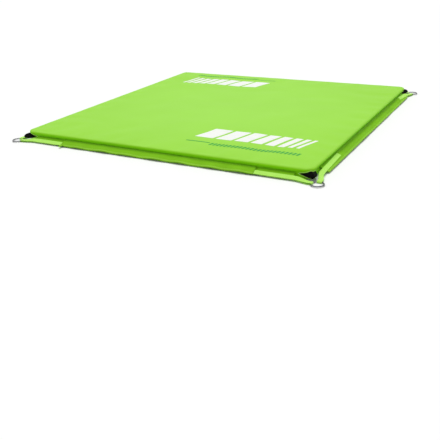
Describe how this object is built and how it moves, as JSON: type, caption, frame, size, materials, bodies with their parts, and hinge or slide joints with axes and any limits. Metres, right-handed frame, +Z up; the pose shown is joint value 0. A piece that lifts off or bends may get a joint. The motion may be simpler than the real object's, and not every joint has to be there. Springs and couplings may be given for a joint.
{
  "type": "swim float mat",
  "caption": "Square foam float mat in a sewn two-face cover with a sloping edge skirt, a front closure flap, drain-mesh corners and a steel ring on webbing at each corner.",
  "frame": {"origin": "middle of the underside, on the plane that the mat lies on", "axes": "+Z up through the thickness; the side with the closure flap faces -Y; +X to the right when that side is in front"},
  "size_m": [1.5646, 1.5646, 0.05],
  "materials": {
    "cover": "satin lime coated fabric",
    "underside": "matte lime fabric",
    "skirt": "matte doubled lime fabric",
    "binding": "pale lime edge tape",
    "webbing": "pale lime webbing",
    "mesh": "black open mesh",
    "tape": "hook and loop fastening tape",
    "foam": "closed-cell foam",
    "steel": "polished steel wire"
  },
  "bodies": {
    "mat": {"foam_core": "foam", "top_cover": "cover", "bottom_cover": "underside", "skirt_right": "skirt", "skirt_binding_right": "binding", "skirt_back": "skirt", "skirt_binding_back": "binding", "skirt_left": "skirt", "skirt_binding_left": "binding", "closure_lip": "skirt", "lip_binding": "binding", "hook_tape": "tape", "drain_mesh_front_right": "mesh", "drain_hem_front_right": "binding", "strap_front_right_front": "webbing", "strap_front_right_right": "webbing", "drain_mesh_back_right": "mesh", "drain_hem_back_right": "binding", "strap_back_right_right": "webbing", "strap_back_right_back": "webbing", "drain_mesh_back_left": "mesh", "drain_hem_back_left": "binding", "strap_back_left_back": "webbing", "strap_back_left_left": "webbing", "drain_mesh_front_left": "mesh", "drain_hem_front_left": "binding", "strap_front_left_left": "webbing", "strap_front_left_front": "webbing"},
    "flap": {"closure_flap": "skirt", "flap_binding": "binding", "loop_tape": "tape", "pull_tab": "binding"},
    "ring_front_right": {"ring_front_right": "steel"},
    "ring_back_right": {"ring_back_right": "steel"},
    "ring_back_left": {"ring_back_left": "steel"},
    "ring_front_left": {"ring_front_left": "steel"}
  },
  "joints": [
    {"name": "closure_flap_hinge", "type": "hinge", "parent": "mat", "child": "flap", "pos_m": [0, -0.71591, 0.02528], "axis": [-1, 0, 0], "range_deg": [0, 65]},
    {"name": "ring_front_right_swing", "type": "hinge", "parent": "mat", "child": "ring_front_right", "pos_m": [0.7425, -0.7425, 0.0047], "axis": [-0.7071, -0.7071, 0], "range_deg": [-75, 120], "deforming": ["strap_front_right_front", "strap_front_right_right"]},
    {"name": "ring_back_right_swing", "type": "hinge", "parent": "mat", "child": "ring_back_right", "pos_m": [0.7425, 0.7425, 0.0047], "axis": [0.7071, -0.7071, 0], "range_deg": [-75, 120], "deforming": ["strap_back_right_right", "strap_back_right_back"]},
    {"name": "ring_back_left_swing", "type": "hinge", "parent": "mat", "child": "ring_back_left", "pos_m": [-0.7425, 0.7425, 0.0047], "axis": [0.7071, 0.7071, 0], "range_deg": [-75, 120], "deforming": ["strap_back_left_back", "strap_back_left_left"]},
    {"name": "ring_front_left_swing", "type": "hinge", "parent": "mat", "child": "ring_front_left", "pos_m": [-0.7425, -0.7425, 0.0047], "axis": [-0.7071, 0.7071, 0], "range_deg": [-75, 120], "deforming": ["strap_front_left_left", "strap_front_left_front"]}
  ]
}
